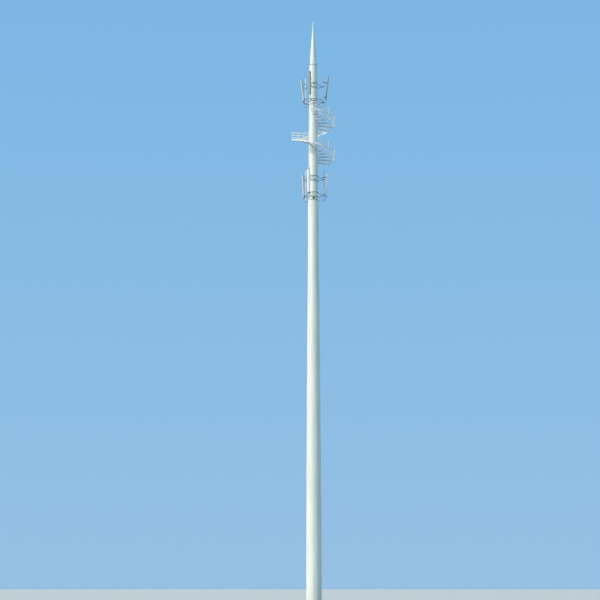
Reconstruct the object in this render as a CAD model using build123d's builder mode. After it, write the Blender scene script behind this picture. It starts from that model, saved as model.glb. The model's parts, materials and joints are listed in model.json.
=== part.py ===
from build123d import *
from math import asin, cos, degrees, radians, sin, sqrt, tan
import os

os.makedirs("parts", exist_ok=True)

# Monopole cell tower with two antenna levels and an outside spiral stair
# Half size model of a tower 60 m tall, all sizes in millimetres of the model
# Origin: centre of the base flange's underside, +Z up, -Y the front, azimuths from +X

# Pole sections, from the base up
section_1_length = 5960
section_2_length = 6000
section_3_length = 4750
section_4_length = 3450
section_5_length = 3600
section_6_length = 3590
base_diameter = 765
joint_1_diameter = 735
joint_2_diameter = 655
joint_3_diameter = 570
step_lower_diameter = 550
step_upper_diameter = 490
joint_5_diameter = 465
top_diameter = 400
lower_wall = 6
upper_wall = 5
lip_width = 45
lip_thickness = 14

# Flanges
base_flange_diameter = 1130
base_flange_thickness = 40
base_bolt_circle = 1010
base_bolt_count = 24
base_hole_diameter = 30
gusset_count = 12
gusset_thickness = 12
gusset_height = 200
gusset_edge_margin = 30
gusset_outer_height = 30
step_flange_overhang = 14
step_flange_thickness = 18
top_flange_overhang = 16
top_flange_thickness = 24

# Lightning spire
spire_diameter = 336
spire_drum_height = 290
spire_height = 2360
spire_tip_diameter = 26
spire_wall = 4
needle_diameter = 12
needle_height = 250
needle_seat = 30

# Doors and cable ports
access_door_azimuth = 90
access_door_sill = 420
access_door_width = 330
access_door_height = 820
exit_door_turn = 15
exit_door_width = 240
exit_door_height = 900
door_corner = 60
frame_bar = 18
frame_stand_out = 12
port_width = 70
port_height = 110
port_corner = 30
port_bar = 8
port_gap = 8
upper_port_drop = 70
port_azimuth = {"right": 30, "back": 150, "front": 270}
fit = 0.3

# Spiral stair: its line is the underside of the outer stringer
stair_radius = 1065
stair_pitch = 1795
stair_drop = 2670
stringer_depth = 60
stringer_thickness = 6
rail_diameter = 24
rail_sides = 8
rail_spacing = 132
rail_count = 3
post_diameter = 24
treads_per_turn = 16
tread_count = 23
top_tread_azimuth = -90
tread_angle = 14
tread_inner_radius = 290
tread_thickness = 15
tread_lift = 22
arm_width = 16
arm_root_depth = 62
arm_tip_depth = 24
treads_per_post = 2

# Antenna levels
pipe_circle_radius = 565
pipe_diameter = 38
upper_level_drop = 2110
upper_pipe_length = 1580
upper_ring_rise = 150
upper_hinge_rise = 440
upper_bracket_drop = 240
lower_pipe_drop = 230
lower_pipe_length = 1650
lower_hinge_rise = 85
lower_bracket_drop = 130
bracket_spread = 112
collar_height = 40
collar_thickness = 8
strut_depth = 26
strut_width = 24
clamp_wall = 8
clamp_height = 60
ring_tube_diameter = 38
spoke_size = 24

# Panel antennas and their tilt brackets
panel_length = 1230
panel_width = 150
panel_depth = 65
panel_below_hinge = 100
panel_side_depth = 28
panel_back_corner = 9
panel_front_corner = 22
cap_height = 22
cap_proud = 1.2
cap_step_inset = 3
cap_step_height = 4
hinge_reach = 55
panel_reach = 90
hinge_clamp_height = 40
upper_slot_radius = 800
lower_slot_radius = 900
tilt_limit = 12
pin_diameter = 8
pin_clearance = 0.05
tongue_width = 24
tongue_side_gap = 1
ear_thickness = 7
eye_radius = 12
arm_plate_thickness = 6
arm_plate_offset = 31
slot_clearance = 1
arm_plate_edge = 13
head_diameter = 16
head_thickness = 6
plate_thickness = 6
plate_height = 80
connector_diameter = 14
connector_length = 26
upper_azimuth = {"right": 15, "back": 135, "front": 255}
lower_azimuth = {"right": 15, "back": 135, "front": 249}
upper_tilt = {"right": 6, "back": 9, "front": 2}
lower_tilt = {"right": 3, "back": 3, "front": 2}

# Jumper cables, hand-chosen points from the connectors down and into the ports
# Each row: radius, share of the turn to the port, half spread of the pair, height above the port
jumper_diameter = 7
jumper_bend = 0.45
upper_jumper_drop = 80
lower_jumper_drop = 65
upper_jumper_route = (
    (654, 0, 38, 134),
    (626, 0, 37, 46),
    (578, 0, 35, -34),
    (505, 0.21, 28, -82),
    (425, 0.47, 22, -92),
    (347, 0.75, 17, -72),
    (277, 0.95, 13, -40),
    (205, 1, 12, -24),
)
lower_jumper_route = (
    (660, 0, 38, 22),
    (622, 0, 37, -30),
    (568, 0, 36, -68),
    (498, 0.2, 29, -90),
    (420, 0.47, 22, -92),
    (345, 0.75, 17, -72),
    (277, 0.95, 13, -40),
    (216, 1, 12, -24),
)

# Heights of the pole's joints
joint_1_height = base_flange_thickness + section_1_length
joint_2_height = joint_1_height + section_2_length
joint_3_height = joint_2_height + section_3_length
step_height = joint_3_height + section_4_length
joint_5_height = step_height + section_5_length
top_height = joint_5_height + section_6_length
step_flange_bottom = step_height - step_flange_thickness / 2
step_flange_top = step_height + step_flange_thickness / 2

# Heights of the upper level and the stair, below the pole's top
upper_pipe_bottom = top_height - upper_level_drop
upper_pipe_top = upper_pipe_bottom + upper_pipe_length
upper_ring_height = upper_pipe_bottom + upper_ring_rise
upper_hinge_height = upper_pipe_bottom + upper_hinge_rise
upper_slot_height = upper_hinge_height + upper_slot_radius
upper_bracket_height = upper_slot_height - upper_bracket_drop
upper_port_height = upper_ring_height - collar_height / 2 - upper_port_drop - port_height / 2
stair_front_height = top_height - stair_drop

# Heights of the lower level, above the pole's step
lower_port_height = step_flange_top + lip_thickness + port_gap + port_height / 2
lower_bracket_low = lower_port_height + port_height / 2 + port_gap + collar_height / 2 + bracket_spread
lower_pipe_bottom = lower_bracket_low - lower_pipe_drop
lower_pipe_top = lower_pipe_bottom + lower_pipe_length
lower_hinge_height = lower_bracket_low + lower_hinge_rise
lower_slot_height = lower_hinge_height + lower_slot_radius
lower_bracket_high = lower_slot_height - lower_bracket_drop

pipe_radius = pipe_diameter / 2
pin_radius = pin_diameter / 2
clamp_radius = pipe_radius + clamp_wall


def save(part, name):
    part.label = name
    export_step(part, f"parts/{name}.step")


def pole_radius(height):
    """Outer radius of the pole at a height."""
    lower = [
        (base_flange_thickness, base_diameter),
        (joint_1_height, joint_1_diameter),
        (joint_2_height, joint_2_diameter),
        (joint_3_height, joint_3_diameter),
        (step_height, step_lower_diameter),
    ]
    upper = [
        (step_height, step_upper_diameter),
        (joint_5_height, joint_5_diameter),
        (top_height, top_diameter),
    ]
    run = lower if height < step_height else upper
    for (low, low_diameter), (high, high_diameter) in zip(run, run[1:]):
        if height <= high:
            share = (height - low) / (high - low)
            return (low_diameter + share * (high_diameter - low_diameter)) / 2
    return run[-1][1] / 2


def radial_plane(azimuth, height=0):
    """Plane through the pole's axis, with x outwards and y up."""
    angle = radians(azimuth)
    outward = (cos(angle), sin(angle), 0)
    return Plane(origin=(0, 0, height), x_dir=outward, z_dir=(sin(angle), -cos(angle), 0))


def facing_plane(azimuth, height, radius=0):
    """Plane that faces outwards, with x along the tangent and y up."""
    angle = radians(azimuth)
    outward = Vector(cos(angle), sin(angle), 0)
    origin = outward * radius + Vector(0, 0, height)
    return Plane(origin=origin, x_dir=(-sin(angle), cos(angle), 0), z_dir=outward)


def tapered_tube(bottom, bottom_diameter, top, top_diameter, wall, lips, openings=()):
    """Conical tube with a flange lip inside each end named in lips, and openings cut in its side."""
    low_radius = bottom_diameter / 2
    high_radius = top_diameter / 2
    points = [(low_radius, bottom), (high_radius, top)]
    if "top" in lips:
        points += [(high_radius - lip_width, top), (high_radius - lip_width, top - lip_thickness)]
        points += [(high_radius - wall, top - lip_thickness)]
    else:
        points += [(high_radius - wall, top)]
    if "bottom" in lips:
        points += [(low_radius - wall, bottom + lip_thickness)]
        points += [(low_radius - lip_width, bottom + lip_thickness), (low_radius - lip_width, bottom)]
    else:
        points += [(low_radius - wall, bottom)]
    with BuildPart() as tube:
        with BuildSketch(Plane.XZ):
            with BuildLine():
                Polyline(*points, close=True)
            make_face()
        revolve(axis=Axis.Z)
        for azimuth, middle, width, height, corner in openings:
            with BuildSketch(facing_plane(azimuth, middle)):
                RectangleRounded(width + 2 * fit, height + 2 * fit, corner + fit)
            extrude(amount=low_radius + wall, mode=Mode.SUBTRACT)
    return tube.part


def opening_frames(openings, bar, wall):
    """Frames that line openings in the wall and stand a little out of it."""
    with BuildPart() as frames:
        for azimuth, middle, width, height, corner in openings:
            radius = pole_radius(middle - height / 2)
            edge_depth = sqrt(radius**2 - (width / 2) ** 2)
            back = edge_depth - wall - frame_stand_out
            front = radius + frame_stand_out
            with BuildSketch(facing_plane(azimuth, middle, back)):
                RectangleRounded(width, height, corner)
                RectangleRounded(width - 2 * bar, height - 2 * bar, corner - bar, mode=Mode.SUBTRACT)
            extrude(amount=front - back)
    return frames.part


def stair_height(azimuth):
    """Height of the stair's line at an azimuth, which falls as the azimuth grows."""
    return stair_front_height - stair_pitch * (azimuth + 90) / 360


tread_step = 360 / treads_per_turn
tread_azimuths = [top_tread_azimuth + index * tread_step for index in range(tread_count)]
stair_top_azimuth = tread_azimuths[0] - tread_angle / 2
stair_bottom_azimuth = tread_azimuths[-1] + tread_angle / 2
exit_door_azimuth = tread_azimuths[-1] + exit_door_turn
exit_door_sill = stair_height(tread_azimuths[-1]) + tread_lift + tread_thickness

access_opening = (
    access_door_azimuth,
    access_door_sill + access_door_height / 2,
    access_door_width,
    access_door_height,
    door_corner,
)
exit_opening = (
    exit_door_azimuth,
    exit_door_sill + exit_door_height / 2,
    exit_door_width,
    exit_door_height,
    door_corner,
)
lower_ports = [
    (azimuth, lower_port_height, port_width, port_height, port_corner) for azimuth in port_azimuth.values()
]
upper_ports = [
    (azimuth, upper_port_height, port_width, port_height, port_corner) for azimuth in port_azimuth.values()
]


# Base flange, a full plate with a ring of anchor holes
with BuildPart() as base_flange:
    with BuildSketch():
        Circle(base_flange_diameter / 2)
        with PolarLocations(base_bolt_circle / 2, base_bolt_count, start_angle=180 / base_bolt_count):
            Circle(base_hole_diameter / 2, mode=Mode.SUBTRACT)
    extrude(amount=base_flange_thickness)
save(base_flange.part, "base_flange")

# Gussets between the flange and the pole
gusset_inner = base_diameter / 2 + fit
gusset_outer = base_flange_diameter / 2 - gusset_edge_margin
with BuildPart() as base_gussets:
    for index in range(gusset_count):
        with BuildSketch(radial_plane(360 * index / gusset_count)):
            with BuildLine():
                Polyline(
                    (gusset_inner, base_flange_thickness),
                    (gusset_outer, base_flange_thickness),
                    (gusset_outer, base_flange_thickness + gusset_outer_height),
                    (gusset_inner, base_flange_thickness + gusset_height),
                    close=True,
                )
            make_face()
        extrude(amount=gusset_thickness / 2, both=True)
save(base_gussets.part, "base_gussets")

# Pole sections with their door and port openings
both_lips = ["bottom", "top"]
sections = {
    "shaft_1": (base_flange_thickness, base_diameter, joint_1_height, joint_1_diameter),
    "shaft_2": (joint_1_height, joint_1_diameter, joint_2_height, joint_2_diameter),
    "shaft_3": (joint_2_height, joint_2_diameter, joint_3_height, joint_3_diameter),
    "shaft_4": (joint_3_height, joint_3_diameter, step_flange_bottom, step_lower_diameter),
    "shaft_5": (step_flange_top, step_upper_diameter, joint_5_height, joint_5_diameter),
    "shaft_6": (joint_5_height, joint_5_diameter, top_height, top_diameter),
}
section_openings = {
    "shaft_1": [access_opening],
    "shaft_5": [*lower_ports, exit_opening],
    "shaft_6": upper_ports,
}
for name, section in sections.items():
    wall = lower_wall if section[0] < step_height else upper_wall
    lips = ["top"] if name == "shaft_1" else both_lips
    save(tapered_tube(*section, wall, lips, section_openings.get(name, [])), name)

# Flange ring where the pole steps in
with BuildPart() as step_flange:
    with BuildSketch(Plane.XY.offset(step_flange_bottom)):
        Circle(step_lower_diameter / 2 + step_flange_overhang)
        Circle(step_upper_diameter / 2 - lip_width, mode=Mode.SUBTRACT)
    extrude(amount=step_flange_thickness)
save(step_flange.part, "step_flange")

# Frames of the doors and the collars of the cable ports
save(opening_frames([access_opening], frame_bar, lower_wall), "access_door_frame")
save(opening_frames([exit_opening], frame_bar, upper_wall), "exit_door_frame")
save(opening_frames(lower_ports + upper_ports, port_bar, upper_wall), "cable_port_collars")

# Closed access door, a curved leaf flush with the pole
leaf_gap = frame_bar + fit
door_zone = tapered_tube(*sections["shaft_1"], lower_wall, [])
with BuildPart() as access_door:
    with BuildSketch(facing_plane(access_door_azimuth, access_opening[1])):
        RectangleRounded(
            access_door_width - 2 * leaf_gap, access_door_height - 2 * leaf_gap, door_corner - leaf_gap
        )
    extrude(amount=base_diameter)
    add(door_zone, mode=Mode.INTERSECT)
save(access_door.part, "access_door")

# Top flange and the lightning spire with its needle
with BuildPart() as top_flange:
    with BuildSketch(Plane.XY.offset(top_height)):
        Circle(top_diameter / 2 + top_flange_overhang)
        Circle(top_diameter / 2 - lip_width, mode=Mode.SUBTRACT)
    extrude(amount=top_flange_thickness)
save(top_flange.part, "top_flange")

spire_bottom = top_height + top_flange_thickness
spire_shoulder = spire_bottom + spire_drum_height
spire_top = spire_bottom + spire_height
with BuildPart() as lightning_spire:
    with BuildSketch(Plane.XZ):
        with BuildLine():
            Polyline(
                (spire_diameter / 2, spire_bottom),
                (spire_diameter / 2, spire_shoulder),
                (spire_tip_diameter / 2, spire_top),
                (needle_diameter / 2, spire_top),
                (needle_diameter / 2, spire_top - needle_seat),
                (spire_diameter / 2 - spire_wall, spire_shoulder),
                (spire_diameter / 2 - spire_wall, spire_bottom + spire_wall),
                (spire_diameter / 2 - lip_width, spire_bottom + spire_wall),
                (spire_diameter / 2 - lip_width, spire_bottom),
                close=True,
            )
        make_face()
    revolve(axis=Axis.Z)
save(lightning_spire.part, "lightning_spire")

with BuildPart() as lightning_needle:
    with BuildSketch(Plane.XY.offset(spire_top - needle_seat)):
        Circle(needle_diameter / 2 - fit / 2)
    extrude(amount=needle_seat + needle_height)
save(lightning_needle.part, "lightning_needle")


# Spiral stair
def stair_helix(radius, lift):
    """Left-handed helix that climbs from the stair's lower end."""
    foot = stair_height(stair_bottom_azimuth)
    rise = stair_height(stair_top_azimuth) - foot
    with BuildLine() as path:
        Helix(stair_pitch, rise, radius, center=(0, 0, foot + lift), lefthand=True)
    return path.line.rotate(Axis.Z, stair_bottom_azimuth)


def path_start(path):
    """Plane across the lower end of a path along the stair, with x outwards."""
    angle = radians(stair_bottom_azimuth)
    return Plane(origin=path @ 0, x_dir=(cos(angle), sin(angle), 0), z_dir=path % 0)


def helical_rails(radius, lifts):
    """Eight-sided rails, a flat outwards, that follow the stair at heights above its line."""
    paths = [stair_helix(radius, lift) for lift in lifts]
    with BuildPart() as rails:
        for path in paths:
            with BuildSketch(path_start(path)):
                turn = 180 / rail_sides
                RegularPolygon(rail_diameter / 2, rail_sides, major_radius=False, rotation=turn)
            sweep(path=path, is_frenet=True)
    return rails.part


# Outer stringer, an upright flat bar bent to the stair's line, flush with the rails outside
stringer_radius = stair_radius + rail_diameter / 2 - stringer_thickness / 2
stringer_path = stair_helix(stringer_radius, stringer_depth / 2)
with BuildPart() as stair_stringer:
    with BuildSketch(path_start(stringer_path)):
        Rectangle(stringer_thickness, stringer_depth)
    sweep(path=stringer_path, is_frenet=True)
save(stair_stringer.part, "stair_stringer")

# Handrail and two lower rails
rail_lifts = [rail_spacing * (index + 1) for index in range(rail_count)]
save(helical_rails(stair_radius, rail_lifts[-1:]), "stair_handrail")
save(helical_rails(stair_radius, rail_lifts[:-1]), "stair_midrails")

# Treads
tread_outer_radius = stringer_radius - stringer_thickness / 2 - fit
with BuildPart() as stair_treads:
    for azimuth in tread_azimuths:
        start = azimuth - tread_angle / 2
        with BuildSketch(Plane.XY.offset(stair_height(azimuth) + tread_lift)):
            with BuildLine():
                inner = CenterArc((0, 0), tread_inner_radius, start, tread_angle)
                outer = CenterArc((0, 0), tread_outer_radius, start, tread_angle)
                Line(inner @ 0, outer @ 0)
                Line(inner @ 1, outer @ 1)
            make_face()
        extrude(amount=tread_thickness)
save(stair_treads.part, "stair_treads")

# Cantilever arms from the pole, one under each tread
with BuildPart() as stair_arms:
    for azimuth in tread_azimuths:
        top = stair_height(azimuth) + tread_lift
        root = pole_radius(top - arm_root_depth) + fit
        with BuildSketch(radial_plane(azimuth)):
            with BuildLine():
                Polyline(
                    (root, top - arm_root_depth),
                    (tread_outer_radius, top - arm_tip_depth),
                    (tread_outer_radius, top),
                    (root, top),
                    close=True,
                )
            make_face()
        extrude(amount=arm_width / 2, both=True)
save(stair_arms.part, "stair_arms")

# Posts that stand outside the stringer and the rails
post_circle = stair_radius + rail_diameter / 2 + fit + post_diameter / 2
with BuildPart() as stair_posts:
    for azimuth in tread_azimuths[::treads_per_post]:
        angle = radians(azimuth)
        with BuildSketch(Plane.XY.offset(stair_height(azimuth))):
            with Locations((post_circle * cos(angle), post_circle * sin(angle))):
                Circle(post_diameter / 2)
        extrude(amount=rail_lifts[-1] + rail_diameter / 2)
save(stair_posts.part, "stair_posts")


# Antenna pipes and the brackets that hold them
def pipe_plane(azimuth, height=0):
    """Plane at a pipe's foot, with x outwards and z up."""
    angle = radians(azimuth)
    origin = (pipe_circle_radius * cos(angle), pipe_circle_radius * sin(angle), height)
    return Plane(origin=origin, x_dir=(cos(angle), sin(angle), 0), z_dir=(0, 0, 1))


def antenna_pipes(azimuths, bottom, top):
    with BuildPart() as pipes:
        for azimuth in azimuths:
            with BuildSketch(pipe_plane(azimuth, bottom)):
                Circle(pipe_radius)
            extrude(amount=top - bottom)
    return pipes.part


def stand_off(azimuths, height):
    """Two collars round the pole, with an upright V of struts to each pipe's clamp."""
    levels = (height - bracket_spread, height + bracket_spread)
    with BuildPart() as bracket:
        for level in levels:
            inner = pole_radius(level - collar_height / 2) + fit
            with BuildSketch(Plane.XY.offset(level - collar_height / 2)):
                Circle(inner + collar_thickness)
                Circle(inner, mode=Mode.SUBTRACT)
            extrude(amount=collar_height)
        root = pole_radius(height) + collar_thickness / 2
        tip = pipe_circle_radius - pipe_radius - clamp_wall / 2
        slope = bracket_spread / (tip - root)
        inside = tip - strut_depth / 2 / slope
        for azimuth in azimuths:
            with BuildSketch(radial_plane(azimuth, height)):
                with BuildLine():
                    Polyline(
                        (root, bracket_spread + strut_depth / 2),
                        (tip, strut_depth / 2),
                        (tip, -strut_depth / 2),
                        (root, -bracket_spread - strut_depth / 2),
                        (root, -bracket_spread + strut_depth / 2),
                        (inside, 0),
                        (root, bracket_spread - strut_depth / 2),
                        close=True,
                    )
                make_face()
            extrude(amount=strut_width / 2, both=True)
            with BuildSketch(pipe_plane(azimuth, height - clamp_height / 2)):
                Circle(clamp_radius)
            extrude(amount=clamp_height)
            with BuildSketch(pipe_plane(azimuth, height - clamp_height / 2)):
                Circle(pipe_radius + fit)
            extrude(amount=clamp_height, mode=Mode.SUBTRACT)
    return bracket.part


upper_azimuths = list(upper_azimuth.values())
lower_azimuths = list(lower_azimuth.values())
save(antenna_pipes(upper_azimuths, upper_pipe_bottom, upper_pipe_top), "upper_pipes")
save(antenna_pipes(lower_azimuths, lower_pipe_bottom, lower_pipe_top), "lower_pipes")
save(stand_off(upper_azimuths, upper_bracket_height), "upper_stand_off")
save(stand_off(lower_azimuths, lower_bracket_high), "lower_stand_off_high")
save(stand_off(lower_azimuths, lower_bracket_low), "lower_stand_off_low")

# Ring frame at the foot of the upper level
ring_radius = pipe_circle_radius - clamp_radius - ring_tube_diameter / 2 + clamp_wall / 2
with BuildPart() as upper_ring_frame:
    ring_collar_inner = pole_radius(upper_ring_height - collar_height / 2) + fit
    with BuildSketch(Plane.XY.offset(upper_ring_height - collar_height / 2)):
        Circle(ring_collar_inner + collar_thickness)
        Circle(ring_collar_inner, mode=Mode.SUBTRACT)
    extrude(amount=collar_height)
    with BuildSketch(Plane.XZ):
        with Locations((ring_radius, upper_ring_height)):
            Circle(ring_tube_diameter / 2)
    revolve(axis=Axis.Z)
    for azimuth in upper_azimuths:
        spoke_root = ring_collar_inner + collar_thickness / 2
        with BuildSketch(facing_plane(azimuth, upper_ring_height, spoke_root)):
            Rectangle(spoke_size, spoke_size)
        extrude(amount=ring_radius - spoke_root)
        with BuildSketch(pipe_plane(azimuth, upper_ring_height - clamp_height / 2)):
            Circle(clamp_radius)
        extrude(amount=clamp_height)
        with BuildSketch(pipe_plane(azimuth, upper_ring_height - clamp_height / 2)):
            Circle(pipe_radius + fit)
        extrude(amount=clamp_height, mode=Mode.SUBTRACT)
save(upper_ring_frame.part, "upper_ring_frame")


# Pipe clamps that carry the tilt hinge and the slot bolt
def upright_plane(place, side=0):
    """Plane across a clamp or antenna, with x outwards, y up and its normal sideways."""
    origin = place.origin + place.y_dir * side
    return Plane(origin=origin, x_dir=place.x_dir, z_dir=-place.y_dir)


def hinge_clamps(azimuths, height):
    """Clamps with two ears and the pin that the antenna's tongue turns on."""
    ear_inner = tongue_width / 2 + tongue_side_gap
    ear_outer = ear_inner + ear_thickness
    with BuildPart() as clamps:
        for azimuth in azimuths:
            place = pipe_plane(azimuth, height)
            with BuildSketch(pipe_plane(azimuth, height - hinge_clamp_height / 2)):
                Circle(clamp_radius)
            extrude(amount=hinge_clamp_height)
            for side in (-1, 1):
                low = min(side * ear_inner, side * ear_outer)
                with BuildSketch(upright_plane(place, low + ear_thickness)):
                    with Locations((hinge_reach / 2, 0)):
                        Rectangle(hinge_reach, 2 * eye_radius)
                    with Locations((hinge_reach, 0)):
                        Circle(eye_radius)
                extrude(amount=ear_thickness)
            with BuildSketch(upright_plane(place)):
                with Locations((hinge_reach, 0)):
                    Circle(pin_radius)
            extrude(amount=ear_outer + ear_thickness / 2, both=True)
            with BuildSketch(pipe_plane(azimuth, height - hinge_clamp_height / 2)):
                Circle(pipe_radius + fit)
            extrude(amount=hinge_clamp_height, mode=Mode.SUBTRACT)
    return clamps.part


def slot_clamps(azimuths, height):
    """Clamps whose bolt runs in the slots of the antenna's tilt arms."""
    bolt_half = arm_plate_offset + arm_plate_thickness + slot_clearance
    with BuildPart() as clamps:
        for azimuth in azimuths:
            place = pipe_plane(azimuth, height)
            with BuildSketch(pipe_plane(azimuth, height - hinge_clamp_height / 2)):
                Circle(clamp_radius)
                with Locations((hinge_reach / 2, 0)):
                    Rectangle(hinge_reach, 2 * pipe_radius)
            extrude(amount=hinge_clamp_height)
            with BuildSketch(upright_plane(place)):
                with Locations((hinge_reach, 0)):
                    Circle(hinge_clamp_height / 2 - clamp_wall)
            extrude(amount=pipe_radius, both=True)
            with BuildSketch(upright_plane(place)):
                with Locations((hinge_reach, 0)):
                    Circle(pin_radius)
            extrude(amount=bolt_half + head_thickness, both=True)
            for side in (-1, 1):
                start = bolt_half + head_thickness if side > 0 else -bolt_half
                with BuildSketch(upright_plane(place, start)):
                    with Locations((hinge_reach, 0)):
                        Circle(head_diameter / 2)
                extrude(amount=head_thickness)
            with BuildSketch(pipe_plane(azimuth, height - hinge_clamp_height / 2)):
                Circle(pipe_radius + fit)
            extrude(amount=hinge_clamp_height, mode=Mode.SUBTRACT)
    return clamps.part


save(hinge_clamps(upper_azimuths, upper_hinge_height), "upper_hinge_clamps")
save(hinge_clamps(lower_azimuths, lower_hinge_height), "lower_hinge_clamps")
save(slot_clamps(upper_azimuths, upper_slot_height), "upper_slot_clamps")
save(slot_clamps(lower_azimuths, lower_slot_height), "lower_slot_clamps")


# Panel antennas and their tilt brackets, at their rest tilt
def antenna_plane(azimuth, hinge_height, tilt):
    """Plane on the hinge's axis that leans outwards with the antenna."""
    angle = radians(azimuth)
    lean = radians(tilt)
    reach = pipe_circle_radius + hinge_reach
    return Plane(
        origin=(reach * cos(angle), reach * sin(angle), hinge_height),
        x_dir=(cos(angle) * cos(lean), sin(angle) * cos(lean), -sin(lean)),
        z_dir=(cos(angle) * sin(lean), sin(angle) * sin(lean), cos(lean)),
    )


def radome_section(place, height, grow=0):
    """Section of the radome, with a flat back, straight sides and a crowned front."""
    back = panel_reach - hinge_reach
    half_width = panel_width / 2 + grow
    shoulder = back + panel_side_depth
    with BuildSketch(place.offset(height)) as section:
        with BuildLine():
            Polyline(
                (shoulder, half_width),
                (back - grow, half_width),
                (back - grow, -half_width),
                (shoulder, -half_width),
            )
            ThreePointArc((shoulder, -half_width), (back + panel_depth + grow, 0), (shoulder, half_width))
        make_face()
        fillet(section.vertices().sort_by(Axis.X)[:2], panel_back_corner)
        fillet(section.vertices().sort_by(Axis.X)[-2:], panel_front_corner)
    return section.sketch


def panel_antenna(place):
    """Crowned radome closed by a stepped cap at each end, with the connectors under it."""
    back = panel_reach - hinge_reach
    body_length = panel_length - 2 * (cap_height + cap_step_height)
    layers = [
        (cap_step_height, -cap_step_inset),
        (cap_height, cap_proud),
        (body_length, 0),
        (cap_height, cap_proud),
        (cap_step_height, -cap_step_inset),
    ]
    with BuildPart() as panel:
        height = -panel_below_hinge
        for thickness, grow in layers:
            extrude(radome_section(place, height, grow), amount=thickness)
            height += thickness
        with BuildSketch(place.offset(-panel_below_hinge - connector_length)):
            for side in (-1, 1):
                with Locations((back + panel_depth / 2, side * panel_width / 4)):
                    Circle(connector_diameter / 2)
        extrude(amount=connector_length)
    return panel.part


def tilt_bracket(place, slot_radius):
    """Tongue at the hinge, and two arms whose arc slots are centred on the hinge."""
    back = panel_reach - hinge_reach
    slot_width = pin_diameter + 2 * slot_clearance
    arc_start = 90 - degrees(
        asin((back - plate_thickness / 2) / (slot_radius + slot_width / 2 + arm_plate_edge))
    )
    slot_margin = degrees(slot_clearance / slot_radius)
    with BuildPart() as bracket:
        for middle, height in ((0, plate_height), (slot_radius, plate_height)):
            with BuildSketch(place.offset(middle - height / 2)):
                with Locations((back - plate_thickness / 2, 0)):
                    Rectangle(plate_thickness, 2 * (arm_plate_offset + arm_plate_thickness))
            extrude(amount=height)
        with BuildSketch(upright_plane(place)):
            with Locations((back / 2, 0)):
                Rectangle(back, 2 * eye_radius)
            Circle(eye_radius)
            Circle(pin_radius + pin_clearance, mode=Mode.SUBTRACT)
        extrude(amount=tongue_width / 2, both=True)
        for side in (-1, 1):
            inner = side * arm_plate_offset
            outer = side * (arm_plate_offset + arm_plate_thickness)
            with BuildSketch(upright_plane(place, max(inner, outer))):
                with BuildLine():
                    low = slot_radius - slot_width / 2 - arm_plate_edge
                    high = slot_radius + slot_width / 2 + arm_plate_edge
                    sweep_angle = 90 + tilt_limit + slot_margin - arc_start
                    low_arc = CenterArc((0, 0), low, arc_start, sweep_angle)
                    high_arc = CenterArc((0, 0), high, arc_start, sweep_angle)
                    Line(low_arc @ 0, high_arc @ 0)
                    ThreePointArc(
                        low_arc @ 1,
                        end_point(slot_radius, arc_start + sweep_angle, high - slot_radius),
                        high_arc @ 1,
                    )
                make_face()
                with BuildLine():
                    slot_line = CenterArc((0, 0), slot_radius, 90 - slot_margin, tilt_limit + 2 * slot_margin)
                SlotArc(slot_line, slot_width, mode=Mode.SUBTRACT)
            extrude(amount=arm_plate_thickness)
    return bracket.part


def end_point(radius, angle, beyond):
    """Point on a circle, moved on along the circle's direction."""
    turn = radians(angle)
    return (radius * cos(turn) - beyond * sin(turn), radius * sin(turn) + beyond * cos(turn))


levels = {
    "upper": (upper_hinge_height, upper_slot_radius, upper_azimuth, upper_tilt),
    "lower": (lower_hinge_height, lower_slot_radius, lower_azimuth, lower_tilt),
}
for level, (hinge_height, slot_radius, level_azimuths, tilts) in levels.items():
    for sector, azimuth in level_azimuths.items():
        place = antenna_plane(azimuth, hinge_height, tilts[sector])
        save(panel_antenna(place), f"{level}_{sector}_antenna")
        save(tilt_bracket(place, slot_radius), f"{level}_{sector}_tilt_bracket")


# Jumper cables, two from each antenna to the port beside it
def jumper_points(place, side, azimuth, turn, port_height, drop, route):
    """Points from a connector's end, straight out of it at first, then along the route."""
    across = panel_reach - hinge_reach + panel_depth / 2
    start = place.from_local_coords((across, side * panel_width / 4, -panel_below_hinge - connector_length))
    points = [start, start - place.z_dir * drop]
    for radius, share, spread, rise in route:
        angle = radians(azimuth + share * turn)
        outward = Vector(cos(angle), sin(angle), 0)
        sideways = Vector(-sin(angle), cos(angle), 0)
        points.append(outward * radius + sideways * side * spread + Vector(0, 0, port_height + rise))
    return points


def bend_radii(points):
    """Radius at each inner point, as large as the runs beside it allow."""
    radii = []
    for before, corner, after in zip(points, points[1:], points[2:]):
        run_in = corner - before
        run_out = after - corner
        turn = radians(run_in.get_angle(run_out))
        radii.append(jumper_bend * min(run_in.length, run_out.length) / tan(turn / 2))
    return radii


jumper_runs = {
    "upper": (upper_port_height, upper_jumper_drop, upper_jumper_route),
    "lower": (lower_port_height, lower_jumper_drop, lower_jumper_route),
}
for level, (hinge_height, slot_radius, level_azimuths, tilts) in levels.items():
    for sector, azimuth in level_azimuths.items():
        place = antenna_plane(azimuth, hinge_height, tilts[sector])
        turn = port_azimuth[sector] - azimuth
        with BuildPart() as jumpers:
            for side in (-1, 1):
                points = jumper_points(place, side, azimuth, turn, *jumper_runs[level])
                radii = bend_radii(points)
                with BuildLine() as path:
                    FilletPolyline(*points, radius=radii)
                with BuildSketch(Plane(origin=path.line @ 0, z_dir=path.line % 0)):
                    Circle(jumper_diameter / 2)
                sweep(path=path.line)
                print(level, sector, "jumper radii", [round(radius) for radius in radii])
        save(jumpers.part, f"{level}_{sector}_jumpers")
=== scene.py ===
import json
from functools import partial
from math import atan, atan2, cos, pi, radians, sin, sqrt

import bmesh
import bpy
from mathutils import Matrix, Vector


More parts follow.
